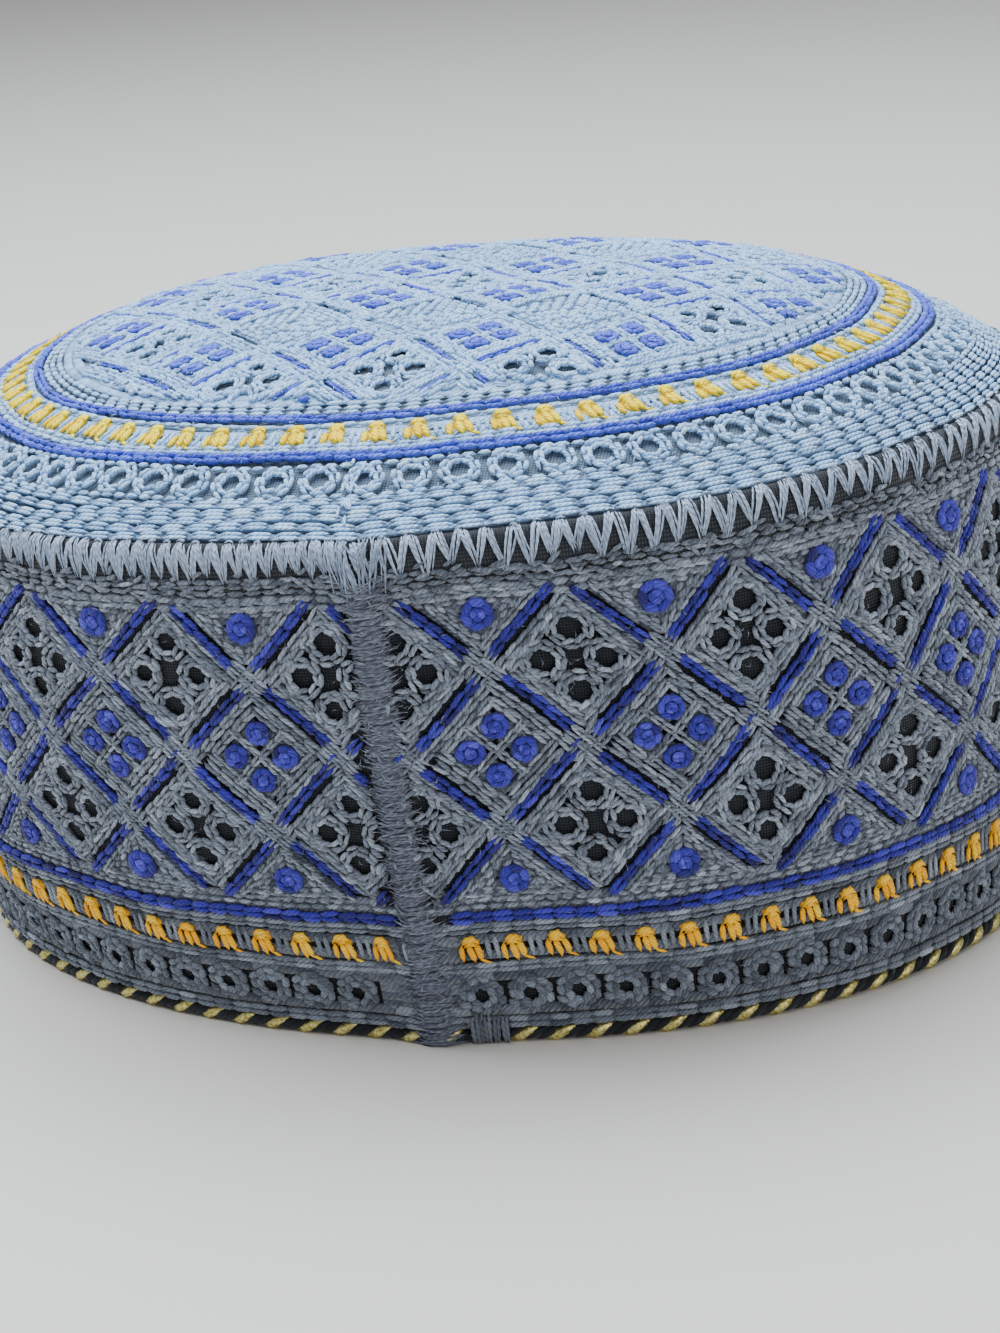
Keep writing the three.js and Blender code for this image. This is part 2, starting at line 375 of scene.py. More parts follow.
# Plies slant across a thread and fibres run along it; wear is the slow change of colour over the cloth. The
# grooves between plies are darkened in colour as painted shade
threadLook = {
    "plies": {"Distortion": 0.9, "Detail": 2.0},
    "fibres": {"Scale": 2.6, "Detail": 4.0},
    "fibreStretch": {"Scale": (0.6, 3.2, 1)},
    "wear": {"Scale": 55.0, "Detail": 3.0},
    # The ply share darkens the colour in the grooves between plies: painted shade
    "paintedPlyShade": {1: 0.46, 2: 0.50},
    "wearShade": {1: 0.35},
    "fibreShade": {1: 0.22},
    "ridge": {"Strength": 0.8, "Distance": 0.00018},
    "fuzz": {"Strength": 0.4, "Distance": 0.00008},
    "surface": {"Sheen Roughness": 0.45, "Specular IOR Level": 0.28},
}


def threadFinish(name, deep, main, pale, sheen=0.35, roughness=0.78, twist=0.62, paintedGlow=0.0):
    t = threadLook
    material, shader = newMaterial(name)
    tone = addNode(material, "Attribute", "Fac", settings={"attribute_name": "threadTone"})
    colour = addRamp(material, tone, ((0, deep), (0.5, main), (1, pale)))
    run = addNode(material, "UVMap", "UV", settings={"uv_map": "threadRun"})
    slant = {"wave_type": "BANDS", "bands_direction": "DIAGONAL"}
    plies = addNode(material, "TexWave", "Fac", {"Scale": twist, **t["plies"]}, {"Vector": run}, slant)
    stretch = addNode(material, "Mapping", "Vector", t["fibreStretch"], {"Vector": run})
    fibres = addNode(material, "TexNoise", "Fac", t["fibres"], {"Vector": stretch})
    place = addNode(material, "TexCoord", "Object")
    wear = addNode(material, "TexNoise", "Fac", t["wear"], {"Vector": place})
    # The darker colour in the ply grooves is painted shade; wear and fibres are the thread's own changes of colour
    wearAndPlyShade = addScaled(material, t["paintedPlyShade"], {0: plies})
    wearAndPlyShade = addScaled(material, t["wearShade"], {0: wear, 2: wearAndPlyShade})
    wearAndPlyShade = addScaled(material, t["fibreShade"], {0: fibres, 2: wearAndPlyShade})
    multiply = {"data_type": "RGBA", "blend_type": "MULTIPLY"}
    tint = addNode(material, "Mix", "Result", {"Factor": 1.0}, {"A": colour, "B": wearAndPlyShade}, multiply)
    ridge = addNode(material, "Bump", "Normal", t["ridge"], {"Height": plies})
    fuzz = addNode(material, "Bump", "Normal", t["fuzz"], {"Height": fibres, "Normal": ridge})
    # Emission makes the orange and yellow threads glow though they are no lamp: painted light that brightens them
    light = {"Sheen Weight": sheen, "Emission Color": (*main, 1), "Emission Strength": paintedGlow}
    feed(material, shader, {"Roughness": roughness, **light, **t["surface"]}, {"Base Color": tint, "Normal": fuzz})
    return material


# Warp and weft crossed, with thick and thin places in the yarn
clothLook = {
    "yarn": {"Scale": 0.62, "Distortion": 0.8, "Detail": 2.0},
    "slub": {"Scale": 0.35, "Detail": 5.0},
    "slubShade": {1: 0.5},
    "darkest": 0.15,
    "weave": {"Strength": 0.7, "Distance": 0.00022},
    "surface": {"Roughness": 0.9, "Sheen Weight": 0.25, "Sheen Roughness": 0.5, "Specular IOR Level": 0.2},
}


def clothFinish(name, low, high):
    c = clothLook
    material, shader = newMaterial(name)
    run = addNode(material, "UVMap", "UV", settings={"uv_map": "threadRun"})
    warp = addNode(material, "TexWave", "Fac", c["yarn"], {"Vector": run}, {"bands_direction": "X"})
    weft = addNode(material, "TexWave", "Fac", c["yarn"], {"Vector": run}, {"bands_direction": "Y"})
    crossed = addNode(material, "Math", "Value", {}, {0: warp, 1: weft}, {"operation": "MULTIPLY"})
    slub = addNode(material, "TexNoise", "Fac", c["slub"], {"Vector": run})
    blend = addScaled(material, c["slubShade"], {0: slub, 2: crossed})
    colour = addRamp(material, blend, ((c["darkest"], low), (1, high)))
    weave = addNode(material, "Bump", "Normal", c["weave"], {"Height": blend})
    feed(material, shader, c["surface"], {"Base Color": colour, "Normal": weave})
    return material


cloths = {
    "dark_ground_cloth": ((0.006, 0.008, 0.012), (0.030, 0.035, 0.048)),
    # The crown's ground cloth is the same black cloth made pale slate: painted light where the top light falls on
    # the crown
    "crown_ground_cloth": ((0.055, 0.085, 0.12), (0.205, 0.28, 0.38)),
    "roll_ground_cloth": ((0.012, 0.015, 0.020), (0.055, 0.062, 0.075)),
    "lining_cloth": ((0.13, 0.14, 0.16), (0.30, 0.32, 0.35)),
}
# Dark, middle and pale tone, then sheen, roughness, twist and painted glow where they aren't the usual ones
threads = {
    # band_grey_thread and crown_grey_thread are shaded and lit copies of one grey thread: the crown's is paler and
    # bluer as painted light from above, the band's darker as painted shade
    "band_grey_thread": ((0.068, 0.083, 0.115), (0.205, 0.24, 0.305), (0.45, 0.51, 0.61)),
    "crown_grey_thread": ((0.20, 0.34, 0.55), (0.385, 0.64, 0.99), (0.54, 0.80, 1.0)),
    "whip_grey_thread": ((0.22, 0.285, 0.40), (0.37, 0.46, 0.63), (0.54, 0.64, 0.82), 0.35, 0.78, 0.5),
    "seam_grey_thread": ((0.07, 0.08, 0.115), (0.142, 0.162, 0.22), (0.275, 0.305, 0.385), 0.35, 0.78, 0.5),
    "band_blue_thread": ((0.010, 0.008, 0.10), (0.032, 0.026, 0.37), (0.11, 0.10, 0.74), 0.12, 0.62),
    "crown_blue_thread": ((0.035, 0.055, 0.42), (0.07, 0.115, 0.70), (0.15, 0.23, 0.92), 0.15, 0.6),
    # Orange and yellow carry a painted glow, emission that brightens them as if strongly lit
    "orange_thread": ((0.9, 0.32, 0.003), (1.0, 0.49, 0.008), (1.0, 0.64, 0.04), 0.0, 0.6, 0.62, 0.12),
    "yellow_thread": ((0.80, 0.44, 0.0), (0.97, 0.67, 0.0), (1.0, 0.80, 0.01), 0.0, 0.6, 0.62, 0.2),
    "black_cord_thread": ((0.008, 0.010, 0.014), (0.018, 0.021, 0.028), (0.04, 0.045, 0.055), 0.2),
}
finishes = {name: clothFinish(name, *look) for name, look in cloths.items()}
finishes.update({name: threadFinish(name, *look) for name, look in threads.items()})


# Stitches: one short grain of thread, copied along the rows of the pattern
def templateOf(makeShape):
    bm = bmesh.new()
    makeShape(bm)
    bmesh.ops.rotate(bm, cent=(0, 0, 0), matrix=Matrix.Rotation(math.pi / 2, 3, "Y"), verts=bm.verts[:])
    bmesh.ops.triangulate(bm, faces=bm.faces[:])
    bm.verts.index_update()
    points = np.array([v.co[:] for v in bm.verts])
    corners = np.array([[v.index for v in face.verts] for face in bm.faces])
    bm.free()
    return points, corners


grainShape = templateOf(lambda bm: bmesh.ops.create_icosphere(bm, subdivisions=1, radius=0.5))
strandShape = templateOf(lambda bm: bmesh.ops.create_uvsphere(bm, u_segments=4, v_segments=5, radius=0.5))
padShape = templateOf(lambda bm: bmesh.ops.create_cube(bm, size=0.82))
hairShape = templateOf(lambda bm: bmesh.ops.create_uvsphere(bm, u_segments=4, v_segments=2, radius=0.5))

work = {}
padLift = -0.1  # stitches laid lower than this only pad what lies over them
floorGap = 0.05  # and no thread comes nearer to the floor, in millimetres


def sew(piece, sheet, rows, shape=grainShape):
    padded = (rows[:, 6] < padLift) & (shape is grainShape)
    for chosen, form in ((rows[~padded], shape), (rows[padded], padShape)):
        if len(chosen):
            work.setdefault(piece, []).append((sheet, chosen, form))


# A stitch is a row of numbers: start and end on the sheet, width, thickness, lift, arch, bow and tone
def stitches(starts, ends, width, thick, lift=0.15, arch=0.0, bow=0.0, tone=0.5, loose=1.0):
    starts, ends = np.atleast_2d(starts).astype(float), np.atleast_2d(ends).astype(float)
    count = len(starts)
    rows = np.zeros((count, 10))
    rows[:, 0:2], rows[:, 2:4] = starts, ends
    rows[:, 0:4] += rng.normal(0, 0.06 * loose, (count, 4))
    rows[:, 4] = width * rng.uniform(0.88, 1.12, count)
    rows[:, 5] = thick * rng.uniform(0.88, 1.12, count)
    rows[:, 6] = lift + rng.normal(0, 0.04 * loose, count)
    rows[:, 7], rows[:, 8] = arch, bow
    rows[:, 9] = np.clip(tone + rng.normal(0, 0.17, count), 0, 1)
    return rows


def walk(points, step, closed=False, trim=0.0):
    points = np.asarray(points, float)
    if closed:
        points = np.vstack([points, points[:1]])
    legs = np.diff(points, axis=0)
    lengths = np.hypot(legs[:, 0], legs[:, 1])
    marks = summed(lengths)
    total = marks[-1] - 2 * trim
    count = max(1, round(total / step))
    at = trim + (np.arange(count) + 0.5) * total / count
    leg = np.clip(np.searchsorted(marks, at, side="right") - 1, 0, len(legs) - 1)
    places = points[leg] + legs[leg] * ((at - marks[leg]) / lengths[leg])[:, None]
    return places, legs[leg] / lengths[leg][:, None], total / count


def sideOf(along):
    return np.stack([-along[:, 1], along[:, 0]], 1)


def chain(points, link, width, closed=False, trim=0.0, lift=0.2, tone=0.5, open=0.3):
    places, along, step = walk(points, link, closed, trim)
    side = sideOf(along)
    rows = []
    for hand in (1, -1):
        start = places - along * step * 0.78 + side * width * 0.05 * hand
        end = places + along * step * 0.62 + side * width * open * hand
        rows.append(stitches(start, end, width * 0.54, width * 0.62, lift, 0.14, width * 0.13 * hand, tone, 1.7))
    return np.vstack(rows)


def running(points, step, width, closed=False, lift=0.15, tone=0.5, fill=0.94):
    places, along, step = walk(points, step, closed)
    half = along * step * fill / 2
    return stitches(places - half, places + half, width, width * 0.7, lift, 0.1, 0.0, tone)


def underlay(points, width, step=4.4, closed=False, tone=0.1):
    places, along, step = walk(points, step, closed)
    half = along * step * 0.62
    return stitches(places - half, places + half, width, 0.7, -0.2, 0.0, 0.0, tone, 0.5)


def circle(centre, radius, corners, turn, stretch=1.0):
    angles = turn + np.linspace(0, 2 * math.pi, corners, endpoint=False)
    return np.stack([centre[0] + radius * stretch * np.cos(angles), centre[1] + radius * np.sin(angles)], 1)


def diamond(centre, halfA, halfB, inset):
    x, y = centre
    scale = 1 - inset * math.hypot(halfA, halfB) / (halfA * halfB)
    a, b = halfA * scale, halfB * scale
    return np.array([(x, y + b), (x + a, y), (x, y - b), (x - a, y)])


def between(rows, low, high):
    ends = rows[:, [0, 2]]
    return rows[(ends.min(1) > low) & (ends.max(1) < high)]


# The diamond tiles, shared by the band and the crown
tile = {
    "chainWidth": 1.55, "chainLink": 2.9, "ringRadius": 2.78, "ringWidth": 1.75,
    "ringPlaces": (0.35, 0.40), "spokePlaces": (0.175, 0.19), "spokeReach": (1.3, 1.35),
    "paleUnder": 0.3, "dotRadius": 2.72, "dotPlace": 0.305, "crossReach": 0.33, "crossGap": 0.74,
    "knotRings": ((0.66, 6, 0.66, 0.56, 0.4, 0.48, 1.5), (0.26, 4, 0.4, 0.44, 0.62, 0.62, 1.6)),
}
straightSteps = ((1, 0), (-1, 0), (0, 1), (0, -1))
slantSteps = ((1, 1), (1, -1), (-1, 1), (-1, -1))


def tileFrames(centre, halfA, halfB, insets):
    frames = [diamond(centre, halfA, halfB, inset) for inset in insets]
    return [chain(frame, tile["chainLink"], tile["chainWidth"], True) for frame in frames]


def eyeletTile(centre, halfA, halfB, insets, scale=1.0, under=0.1):
    t = tile
    x, y = centre
    chains = tileFrames(centre, halfA, halfB, insets)
    chains.append(underlay(diamond(centre, halfA, halfB, sum(insets) / 2), 2.7, closed=True, tone=under))
    if under > t["paleUnder"]:
        chains.append(underlay(diamond(centre, halfA, halfB, 0.9), 1.6, closed=True, tone=under))
    rings = []
    for stepA, stepB in straightSteps:
        middle = (x + stepA * halfA * t["ringPlaces"][0], y + stepB * halfB * t["ringPlaces"][1])
        middle = (middle[0] + rng.normal(0, 0.12), middle[1] + rng.normal(0, 0.12))
        radius = t["ringRadius"] * scale * rng.uniform(0.9, 1.06)
        ring = circle(middle, radius, 14, rng.uniform(0, 1), rng.uniform(0.93, 1.07))
        rings.append(chain(ring, 2.0, t["ringWidth"], True, lift=0.35))
    for stepA, stepB in slantSteps:
        middle = np.array([x + stepA * halfA * t["spokePlaces"][0], y + stepB * halfB * t["spokePlaces"][1]])
        reach = np.array([stepA * t["spokeReach"][0], stepB * t["spokeReach"][1]]) * scale
        side = np.array([-reach[1], reach[0]]) * 0.26
        for shift in (-1, 1)[: rng.integers(0, 3)]:
            start = middle - reach * 0.8 + side * shift * 0.7
            rings.append(stitches(start, middle + reach * 1.2 + side * shift, 0.95, 0.85, 0.2))
    return np.vstack(chains), np.vstack(rings)


def tileLines(centre, halfA, halfB, width, offset, trim):
    top, right, bottom, left = range(4)
    rows = []
    for first, last, outward in ((left, top, 1), (top, right, -1), (bottom, right, 1), (left, bottom, -1)):
        corners = diamond(centre, halfA, halfB, -offset * outward)
        rows.append(chain(corners[[first, last]], 3.0, width, trim=trim, lift=0.22, tone=0.36, open=0.24))
    return np.vstack(rows)


def dotTile(centre, halfA, halfB, insets, scale=1.0, under=0.1):
    t = tile
    x, y = centre
    chains = tileFrames(centre, halfA, halfB, insets)
    chains.append(underlay(diamond(centre, halfA, halfB, insets[0]), 1.5, closed=True, tone=under))
    for inset in (insets[1], insets[1] + 1.9, insets[1] + 3.6):
        chains.append(underlay(diamond(centre, halfA, halfB, inset), 2.2, 3.6, True, tone=under))
    reachA, reachB = halfA * t["crossReach"], halfB * t["crossReach"]
    for slant in (1, -1):
        ends = [(x - reachA, y - slant * reachB), (x + reachA, y + slant * reachB)]
        chains.append(chain(ends, 2.0, 1.3, lift=0.3))
    dots = []
    for stepA, stepB in straightSteps:
        middle = (x + stepA * halfA * t["dotPlace"], y + stepB * halfB * t["dotPlace"])
        dots.append(knot(middle, t["dotRadius"] * scale))
    return np.vstack(chains), np.vstack(dots)


def knot(centre, radius):
    x, y = centre
    stretch = rng.uniform(0.9, 1.1)
    ends = (x - radius * 0.7, y), (x + radius * 0.7, y)
    rows = [stitches(*ends, radius * 1.3, 0.8, 0.05, tone=0.3)]
    for ring, corners, step, width, lift, tone, fill in tile["knotRings"]:
        path = circle(centre, radius * ring, corners, rng.uniform(0, 1), stretch)
        rows.append(running(path, radius * step, radius * width, True, lift=lift, tone=tone, fill=fill))
    return np.vstack(rows)


def crossing(centre, reachA, reachB):
    rows = []
    for slant, lift in ((-1, 0.5), (1, 0.2)):
        length = math.hypot(reachA, reachB)
        side = np.array([-slant * reachB, reachA]) / length
        for shift in (-tile["crossGap"], tile["crossGap"]):
            start = np.array([centre[0] - reachA, centre[1] - slant * reachB]) + side * shift
            end = np.array([centre[0] + reachA, centre[1] + slant * reachB]) + side * shift
            rows.append(chain([start, end], 2.2, 1.25, lift=lift))
    return np.vstack(rows)


# The band's pattern, in millimetres along the hem from the seam and up from the floor.
# A row is its height and width, or for the upper ones its height and shift
bandPattern = {
    "firstColumn": 17.6, "pitch": 27.4, "columns": 21, "halfDiagonals": (13.7, 14.0),
    "eyeletFrames": (1.95, 3.3), "dotFrames": (1.95, 3.75), "blueLines": (1.85, 0.42, 2.4),
    "crossing": (2.3, 2.35), "upperEyelets": 69.0, "dotTiles": 54.9, "lowerEyelets": 41.0,
    "upperDots": 77.65, "lowerDots": 31.9, "dotRadius": 3.3, "cornerPad": (2.6, 27.9), "upperPad": 81.6,
    "upperRows": (80.7, 82.1), "edgeRows": ((83.3, 0), (84.3, 1.3), (85.1, 0.5)), "strays": 760,
    "strayHeights": (82.6, 86.2), "middlePad": 26.6, "middleRow": 26.8, "blueLine": 25.0,
    "lowerRows": ((23.3, 1.3), (22.2, 1.0), (15.7, 1.1), (14.7, 1.1), (4.7, 1.2), (3.5, 1.3)),
    "lowerPads": ((22.8, 2.2), (20.5, 2.0), (17.4, 2.0), (15.0, 2.6), (13.2, 2.2), (6.4, 2.3), (4.0, 2.6)),
    "endPads": (7.8, 9.4, 11.0, 12.4, 17.0, 18.6, 20.2), "seamGap": 1.5, "orangeStart": 8.6,
    "orangeRow": 19.0, "orangePitch": 7.14, "ringStart": 9.0, "ringRow": 9.7, "ringPitch": 7.95,
}


def triangleFill(apex, base, middle):
    corners = np.array([apex, (middle[0] + base[0], base[1]), (middle[0] - base[0], base[1])], float)
    centre = np.array(middle)
    rows = []
    for scale in (0.7, 0.48, 0.26):
        rows.append(underlay(centre + (corners - centre) * scale, 2.4, 3.8, True))
    rows.append(chain(centre + (corners - centre) * 0.67, 2.2, 1.35, True))
    for scale in (0.83, 0.52, 0.38):
        path = centre + (corners - centre) * scale
        loop = running(path, 2.3, 0.95, True, lift=0.12)
        away = np.hypot(loop[:, [0, 2]].mean(1) - centre[0], loop[:, [1, 3]].mean(1) - centre[1])
        clear = np.abs(loop[:, [1, 3]].mean(1) - base[1]) < 3 if scale > 0.8 else away > 2.7
        rows.append(loop[clear])
    return np.vstack(rows)


def sewBand():
    p = bandPattern
    halfA, halfB = p["halfDiagonals"]
    low, high = p["seamGap"], hemLength - p["seamGap"]
    chains, rings, fill, courses, blue, orange = [], [], [], [], [], []

    def across(height, start=0, end=0):
        return [(low + start, height), (high - end, height)]

    for index in range(p["columns"] + 1):
        middle = p["firstColumn"] + p["pitch"] * (index - 0.5)
        for height in (p["upperEyelets"], p["lowerEyelets"]):
            place = (middle, height)
            frames, loops = eyeletTile(place, halfA, halfB, p["eyeletFrames"])
            chains.append(frames)
            rings.append(loops)
            blue.append(tileLines(place, halfA, halfB, *p["blueLines"]))
        chains.append(crossing((middle, p["dotTiles"]), *p["crossing"]))
        half, height = p["cornerPad"]
        fill.append(underlay([(middle - half, height), (middle + half, height)], 2.0, 2.6, tone=0.25))
        start, end = (middle - 2.4, p["dotTiles"] - 0.4), (middle - 0.6, p["dotTiles"] + 0.8)
        blue.append(stitches(start, end, 1.1, 0.8, 0.55))
    for index in range(p["columns"]):
        column = p["firstColumn"] + p["pitch"] * index
        frames, dots = dotTile((column, p["dotTiles"]), halfA, halfB, p["dotFrames"])
        chains.append(frames)
        blue.append(dots)
        for height in (p["upperEyelets"], p["lowerEyelets"]):
            chains.append(crossing((column, height), *p["crossing"]))
        upper, lower = (column, p["upperDots"]), (column, p["lowerDots"])
        fill.append(triangleFill((column, p["upperEyelets"]), (halfA, p["upperEyelets"] + halfB), upper))
        fill.append(triangleFill((column, p["lowerEyelets"]), (halfA, p["lowerEyelets"] - halfB), lower))
        blue.append(knot(upper, p["dotRadius"]))
        blue.append(knot(lower, p["dotRadius"] * 0.96))
    courses.append(underlay(across(p["upperPad"]), 3.2, 5.0))
    for height in p["upperRows"]:
        courses.append(running(across(height), 3.1, 1.3, fill=1.05))
    for height, shift in p["edgeRows"]:
        courses.append(running(across(height, shift), 3.0, 1.0, tone=0.3, fill=1.1))
    count = p["strays"]
    places = rng.uniform((low, p["strayHeights"][0]), (high, p["strayHeights"][1]), (count, 2))
    turn = rng.normal(0, 0.45, count)
    ends = places + np.stack([np.cos(turn), np.sin(turn)], 1) * rng.uniform(1.8, 3.4, (count, 1))
    courses.append(stitches(places, ends, 0.8, 0.65, 0.5, 0.1, 0.0, 0.35, 2.0))
    courses.append(underlay(across(p["middlePad"]), 2.3, 5.0))
    courses.append(running(across(p["middleRow"]), 2.7, 1.05, fill=1.05))
    blue.append(chain(across(p["blueLine"], 5, 1), 3.4, 2.1, lift=0.4, tone=0.42, open=0.24))
    for height, width in p["lowerRows"]:
        courses.append(running(across(height), 3.6, width, tone=0.4, fill=1.3))
    for height, width in p["lowerPads"]:
        courses.append(underlay(across(height), width, 5.0))
    for height in p["endPads"]:
        courses.append(underlay([(low, height), (low + 5.4, height)], 2.2, 3.0))
        courses.append(underlay([(high - 7, height), (high, height)], 2.2, 3.0))
    row = p["orangeRow"]
    for index in range(round((high - low) / p["orangePitch"])):
        at = p["orangeStart"] + p["orangePitch"] * index
        if at > high - 4:
            break
        orange.append(blockStitches((at, row), 1.22, 1.12, 0.0))
        bar = at + p["orangePitch"] / 2
        for shift in (-0.85, 0.55):
            courses.append(stitches((bar + shift, row + 2.5), (bar + shift + 0.3, row - 2.6), 1.0, 0.8, 0.15))
    for index in range(round((hemLength - 10) / p["ringPitch"])):
        at = p["ringStart"] + p["ringPitch"] * index
        if at > hemLength - 4:
            break
        courses.append(hexRing((at, p["ringRow"])))
    for piece, parts, edge in (
        ("band_lattice", chains, 0),
        ("band_eyelets", rings, 0),
        ("band_fill", fill, 0),
        ("band_rows", courses, -1),
        ("band_blue", blue, 0),
        ("band_orange", orange, 0),
    ):
        sew(piece, bandSheet, between(np.vstack(parts), low + edge, high - edge))


def blockStitches(centre, sizeX, sizeY, baseEnd):
    x, y = centre
    legs = [  # start, end, width, bow, lift and tone
        ((0.0, 1.9), (0.0, baseEnd), 2.8, 0.0, 0.0, 0.4),
        ((-1.35, 0.5), (1.35, 0.6), 1.15, 1.5, 0.6, 0.8),
        ((-0.9, 0.1), (0.9, 0.2), 1.05, 1.15, 0.5, 0.65),
        ((-1.2, 0.9), (-1.05, -2.3), 0.95, -0.2, 0.42, 0.5),
        ((-0.35, 1.1), (0.4, -2.4), 1.05, 0.1, 0.52, 0.6),
        ((0.5, 1.2), (1.3, -2.2), 1.05, 0.1, 0.46, 0.7),
        ((0.8, -1.5), (2.6, -2.5), 0.5, -0.2, 0.35, 0.6),
    ]
    rows = []
    for first, last, width, bow, lift, tone in legs:
        start = (x + first[0] * sizeX, y + first[1] * sizeY)
        end = (x + last[0] * sizeX, y + last[1] * sizeY)
        bow = bow + rng.normal(0, 0.12)
        thick = min(width, 1.2) * 0.75
        rows.append(stitches(start, end, width * sizeX, thick, lift, bow=bow, tone=tone, loose=1.6))
    return np.vstack(rows)


# The ring row's thread tones are kept low: painted shade, as the band's lower part gets less of the top light
def hexRing(centre):
    inner = running(circle(centre, 1.9, 9, rng.uniform(0, 1)), 1.7, 1.5, True, lift=0.3, tone=0.3, fill=1.45)
    outer = running(circle(centre, 3.45, 6, math.pi / 6), 1.95, 1.5, True, lift=0.15, tone=0.25, fill=1.3)
    rest = running(circle(centre, 2.75, 6, math.pi / 6), 2.7, 1.6, True, lift=0.0, tone=0.05, fill=1.3)
    return np.vstack([inner, outer, rest])


sewBand()
print("band pattern charted")

# The crown's pattern: rows in from the edge, then a field of tiles, in millimetres
crownPattern = {
    "runningRows": (2.6, 4.3, 6.0, 7.7, 9.4), "runningStep": 5.0, "ringRow": 14.3, "ringPitch": 7.6,
    "outerBlue": 19.9, "yellowRow": 25.6, "yellowPitch": 6.95, "innerBlue": 30.3,
    "plainRows": (21.6, 22.7, 28.5, 31.8, 33.0, 34.2),
    "pads": ((35.6, 1.9), (37.2, 1.9), (24.3, 2.2), (26.6, 2.2), (22.2, 2.4), (28.5, 1.8)),
    "jogRow": 10.0, "jogStitches": 14, "tileHalf": (12.5, 13.2),
    "tileKinds": ("eyelet", "dots", "plain", "dots"), "eyeletFrames": (1.45, 2.75),
    "dotFrames": (1.45, 3.1), "blueLines": (1.15, 0.3, 3.4),
    "plainFrames": (1.5, 2.7, 3.9, 5.1, 6.3, 7.5), "tileScale": 0.93, "tileUnder": 0.31,
    "middleTile": (-0.5, -6.0), "tileReach": 24, "plainReach": 52, "fieldStart": 34.6,
}


def fieldDistance(x, y):
    dx, dy = x - topX, y - topY
    return crownReach * (1 - np.hypot(dx / topLength, dy / topWidth))


def insideField(rows, margin=0.0):
    edge = np.interp(crownPattern["fieldStart"], distanceTable, shareTable) * crownReach + margin
    low = np.minimum(fieldDistance(rows[:, 0], rows[:, 1]), fieldDistance(rows[:, 2], rows[:, 3]))
    return rows[low > edge]


def sewRow(piece, distance, make, *sizes, **options):
    sheet, length = crownRow(distance)
    sew(piece, sheet, make([(0, 0), (length, 0)], *sizes, **options))


def sewCrown():
    p = crownPattern
    for distance in p["runningRows"]:
        sheet, length = crownRow(distance)
        shift = rng.uniform(0, 4)
        rows = []
        for side in (-0.38, 0.38):
            path = [(shift, side), (shift + length, side)]
            rows.append(running(path, p["runningStep"], 0.9, lift=0.35, fill=1.0))
        rows.append(underlay([(0, 0), (length, 0)], 1.3, 6.0, tone=0.0))
        sew("crown_rows", sheet, np.vstack(rows))
    sheet, length = crownRow(p["ringRow"])
    count = round(length / p["ringPitch"])
    rings = []
    for index in range(count):
        ring = circle((length * index / count, 0), 2.6, 14, rng.uniform(0, 1), rng.uniform(0.95, 1.06))
        rings.append(chain(ring, 2.0, tile["ringWidth"], True, lift=0.3))
    for side in (-3.6, 3.6):
        rings.append(running([(0, side), (length, side)], 2.6, 1.2, fill=1.05))
    sew("crown_rings", sheet, np.vstack(rings))
    for distance, width in ((p["outerBlue"], 2.3), (p["innerBlue"], 1.8)):
        sewRow("crown_blue", distance, chain, 2.9, width, lift=0.35, open=0.24)
    for distance in p["plainRows"]:
        sewRow("crown_rows", distance, running, 3.4, 1.25, fill=1.04)
    for distance, width in p["pads"]:
        sewRow("crown_rows", distance, underlay, width, 4.6, tone=0.35)
    sheet, length = crownRow(p["yellowRow"])
    count = round(length / p["yellowPitch"])
    blocks, bars = [], []
    for index in range(count):
        at = length * index / count
        blocks.append(blockStitches((at, 0), 1.34, 1.18, -1.7))
        middle = at + length / count / 2
        for shift in (-0.7, 0.6):
            bars.append(stitches((middle + shift, 2.2), (middle + shift + 0.2, -2.2), 0.95, 0.7))
    sew("crown_yellow", sheet, np.vstack(blocks))
    sew("crown_rows", sheet, np.vstack(bars))
    sewJog()
    sewField()


# A few loose stitches where the crown's rows start and end
def sewJog():
    sheet = crownRow(crownPattern["jogRow"])[0]
    rows = []
    for index in range(crownPattern["jogStitches"]):
        at, deep = rng.normal(-1.5, 0.9), rng.uniform(-7.5, 9)
        end = (at + rng.normal(0.3, 0.3), deep + rng.uniform(1.6, 3.2))
        rows.append(stitches((at, deep), end, 0.7, 0.6, 0.75, tone=0.6))
    sew("crown_rows", sheet, np.vstack(rows))


def sewField():
    p = crownPattern
    halfA, halfB = p["tileHalf"]
    scale, under = p["tileScale"], p["tileUnder"]
    chains, eyelets, blue = [], [], []
    for row in range(-6, 7):
        for column in range(-7, 8):
            x = p["middleTile"][0] + halfA * 2 * (column + 0.5 * (row % 2))
            y = p["middleTile"][1] + halfB * row
            if fieldDistance(x, y) < p["tileReach"]:
                continue
            kind = p["tileKinds"][row % 4]
            if kind == "plain" and fieldDistance(x, y) < p["plainReach"]:
                kind = "eyelet"
            if kind == "eyelet":
                frames, loops = eyeletTile((x, y), halfA, halfB, p["eyeletFrames"], scale, under)
                chains.append(frames)
                eyelets.append(loops)
                blue.append(tileLines((x, y), halfA, halfB, *p["blueLines"]))
            elif kind == "dots":
                frames, dots = dotTile((x, y), halfA, halfB, p["dotFrames"], scale, under)
                chains.append(frames)
                blue.append(dots)
            else:
                for inset in p["plainFrames"]:
                    chains.append(underlay(diamond((x, y), halfA, halfB, inset), 1.7, 4.0, True, tone=0.4))
                    chains.append(running(diamond((x, y), halfA, halfB, inset), 2.9, 1.4, True, fill=1.1))
            chains.append(crossing((x + halfA, y), 2.1, 2.2))
    sew("crown_lattice", fieldSheet, insideField(np.vstack(chains)))
    sew("crown_eyelets", fieldSheet, insideField(np.vstack(eyelets)))
    sew("crown_blue", fieldSheet, insideField(np.vstack(blue), 1.0))


sewCrown()
print("crown pattern charted")

